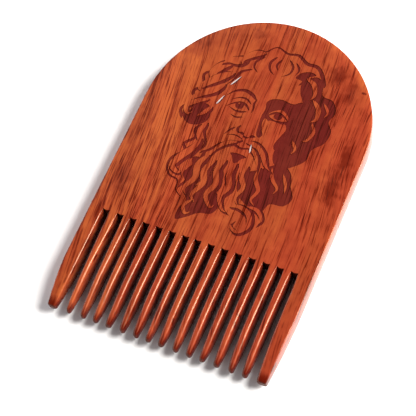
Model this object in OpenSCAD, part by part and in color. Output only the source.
// Arched wooden beard comb, lying on its flat back.
// +Z points out of the engraved front and +Y runs from the tooth tips to the arch.
// The origin is the middle of the footprint, on the plane of the back.

/* [Blank] */
// Width across the two long sides
comb_w = 65.5; // [64.5:0.5:72]
// Length of the plate, from the tooth roots to the top of the arch
plate_len = 70; // [60:0.5:90]
// Thickness of the wood
blank_t = 5; // [4:0.1:6]
// Radius that the plate's rim is eased to
rim_r = 0.2; // [0.2:0.1:1]

/* [Slots] */
// Spacing of the slots, centre to centre
pitch = 3.96; // [3.8:0.02:3.98]
// How far slots 2 to 7 were cut to the right of their even places
cut_over = 0.4; // [0:0.05:0.5]
// Width of a slot at its closed end
slot_w = 2; // [1.5:0.1:2.2]
// How much deeper the cutter takes a slot's two corners than the middle of its closed end
corner_cut = 0.25; // [0.1:0.05:0.4]

/* [Inner teeth] */
// Number of teeth between the two guard teeth
tooth_count = 14; // [10:1:14]
// Length of every tooth, from root to tip
tooth_len = 30; // [24:0.5:36]
// Width of a tooth where its rounded tip begins
tip_w = 1.2; // [0.8:0.1:1.6]
// Thickness of a tooth where its rounded tip begins
tip_t = 2.2; // [1.4:0.1:2.6]
// Height of the middle of the tips above the back
tip_z = 2.5; // [1.8:0.05:2.5]
// Distance from the root over which a tooth keeps its full section
shoulder = 20; // [10:0.5:22]
// Corner radius of a tooth's section
tooth_r = 0.45; // [0.2:0.05:0.6]

/* [Guard teeth] */
// Length of the left tooth's stretch that narrows
left_taper = 14; // [8:1:20]
// Length of the right tooth's stretch that narrows
right_taper = 19; // [8:1:20]
// Width of the left tooth's blunt end
left_end_w = 2.3; // [1.8:0.1:2.5]
// Width of the right tooth's blunt end
right_end_w = 2.7; // [1.8:0.1:2.8]
// Distance that the left tooth's outer edge comes in at its end
left_outer_in = 1.2; // [0.4:0.1:1.4]
// Distance that the right tooth's outer edge comes in at its end
right_outer_in = 0.8; // [0.1:0.1:1.2]
// Thickness of the blunt ends
guard_end_t = 2.6; // [2:0.1:3.4]
// Corner radius of the blunt ends, in plan
guard_end_r = 0.8; // [0.4:0.1:0.8]

/* [Hidden] */
function tooth_name(i) = str("tooth_", i < 10 ? "0" : "", i);
$fn = 48;
// Facets of the guard teeth's long shallow arcs, whose radii are many times the comb's
long_arc_fn = 2000;

half_w = comb_w / 2;
half_t = blank_t / 2;
comb_len = plate_len + tooth_len;
root_y = tooth_len - comb_len / 2;
spring_y = root_y + plate_len - half_w;
guard_w = (comb_w - tooth_count * pitch - slot_w) / 2;
// Radius of the low crown that a slot's closed end is left with between its corners
crown_r = (slot_w * slot_w / 4 + corner_cut * corner_cut) / (2 * corner_cut);
// Margin by which cutting tools pass through the faces they cut
past = 1;

wood = [0.72, 0.29, 0.15];
wood_dark = [0.64, 0.25, 0.13];

// Section of the blank across X, as seen along Y: a rectangle with eased corners
module eased_bar(w, r) {
    translate([r, 0]) square([w - 2 * r, blank_t]);
    translate([0, r]) square([w, blank_t - 2 * r]);
    for (x = [r, w - r], z = [r, blank_t - r]) {
        translate([x, z]) circle(r);
    }
}

// Stretch of the blank below the arch
module straight_part() {
    translate([-half_w, spring_y, 0])
        rotate([90, 0, 0])
            linear_extrude(spring_y - root_y)
                eased_bar(comb_w, rim_r);
}

// Half-round arch, turned about its centre so that its rim has the same easing
module arch_part() {
    translate([0, spring_y, 0])
        rotate_extrude(angle = 180, $fn = 96)
            intersection() {
                translate([-half_w, 0]) eased_bar(comb_w, rim_r);
                square([half_w, blank_t]);
            }
}

// Middle of slot i, counted from 1 at the left
function slot_x(i) = (i - (tooth_count + 2) / 2) * pitch + (i > 1 && i < 8 ? cut_over : 0);

// Middle and width of inner tooth i, which stands between slots i and i + 1
function tooth_x(i) = (slot_x(i) + slot_x(i + 1)) / 2;
function tooth_w(i) = slot_x(i + 1) - slot_x(i) - slot_w;

// What the cutter takes from the plate at a slot, with the root line along y = 0
module slot_end() {
    difference() {
        translate([-slot_w / 2, -past, -past])
            cube([slot_w, past + corner_cut, blank_t + 2 * past]);
        translate([0, crown_r, -2 * past])
            cylinder(h = blank_t + 4 * past, r = crown_r);
    }
}

module handle_plate() {
    color(wood) difference() {
        union() {
            straight_part();
            arch_part();
        }
        for (i = [1:tooth_count + 1]) {
            translate([slot_x(i), root_y, 0]) slot_end();
        }
    }
}

// Outline of an inner tooth of width w seen from the front, root at y = 0 and tip at -y
module tooth_plan(w) {
    tip_y = -tooth_len + tip_w / 2;
    polygon([
        [-w / 2, 0],
        [-w / 2, -shoulder],
        [-tip_w / 2, tip_y],
        [tip_w / 2, tip_y],
        [w / 2, -shoulder],
        [w / 2, 0]
    ]);
    translate([0, tip_y]) circle(tip_w / 2);
}

// Outline of a tooth seen from the side: x is the distance from the root, y the height
module tooth_side(end_t) {
    tip_x = tooth_len - end_t / 2;
    polygon([
        [0, 0],
        [shoulder, 0],
        [tip_x, tip_z - end_t / 2],
        [tip_x, tip_z + end_t / 2],
        [shoulder, blank_t],
        [0, blank_t]
    ]);
    translate([tip_x, tip_z]) circle(end_t / 2);
}

// Bar across the comb with a tooth's side outline, root at y = 0
module side_bar(w, end_t) {
    translate([w / 2, 0, 0])
        rotate([0, 0, -90])
            rotate([90, 0, 0])
                linear_extrude(w)
                    tooth_side(end_t);
}

// Bar along a tooth with a rounded section
module section_bar(w, r) {
    translate([-w / 2, 0, 0])
        rotate([90, 0, 0])
            linear_extrude(tooth_len)
                eased_bar(w, r);
}

module inner_tooth(i) {
    shade = i % 2 == 0 ? wood : wood_dark;
    w = tooth_w(i);
    color(shade)
        translate([tooth_x(i), root_y, 0])
            intersection() {
                linear_extrude(blank_t) tooth_plan(w);
                side_bar(w + 2 * past, tip_t);
                section_bar(w, tooth_r);
            }
}

// What lies outside an edge that leaves x = 0 at y = 0 on an arc and is at x = sag at y = -run
module outside_arc(run, sag) {
    arc_r = (run * run + sag * sag) / (2 * sag);
    difference() {
        translate([-past, -run - past]) square([past + sag, run + past]);
        translate([arc_r, 0]) circle(arc_r, $fn = long_arc_fn);
    }
}

// Outline of a guard tooth with its outer edge at x = 0 and the slot at x = guard_w
module guard_plan(outer_in, end_w, taper) {
    end_y = -tooth_len + guard_end_r;
    taper_y = -tooth_len + taper;
    run = taper_y - end_y;
    left_x = outer_in + guard_end_r;
    right_x = outer_in + end_w - guard_end_r;
    difference() {
        translate([0, end_y]) square([guard_w, -end_y]);
        translate([0, taper_y]) outside_arc(run, outer_in);
        translate([guard_w, taper_y])
            mirror([1, 0])
                outside_arc(run, guard_w - outer_in - end_w);
    }
    translate([left_x, -tooth_len]) square([right_x - left_x, guard_end_r]);
    for (x = [left_x, right_x]) {
        translate([x, end_y]) circle(guard_end_r);
    }
}

// Guard tooth with its outer edge along x = 0
module guard_tooth(outer_in, end_w, taper) {
    color(wood) intersection() {
        linear_extrude(blank_t) guard_plan(outer_in, end_w, taper);
        translate([guard_w / 2, 0, 0]) side_bar(guard_w + 2 * past, guard_end_t);
        translate([guard_w / 2, 0, 0]) section_bar(guard_w, rim_r);
    }
}

module guard_tooth_left() {
    translate([-half_w, root_y, 0])
        guard_tooth(left_outer_in, left_end_w, left_taper);
}

module guard_tooth_right() {
    translate([half_w, root_y, 0])
        mirror([1, 0, 0])
            guard_tooth(right_outer_in, right_end_w, right_taper);
}

handle_plate();
guard_tooth_left();
guard_tooth_right();
for (i = [1:tooth_count]) {
    inner_tooth(i);
}
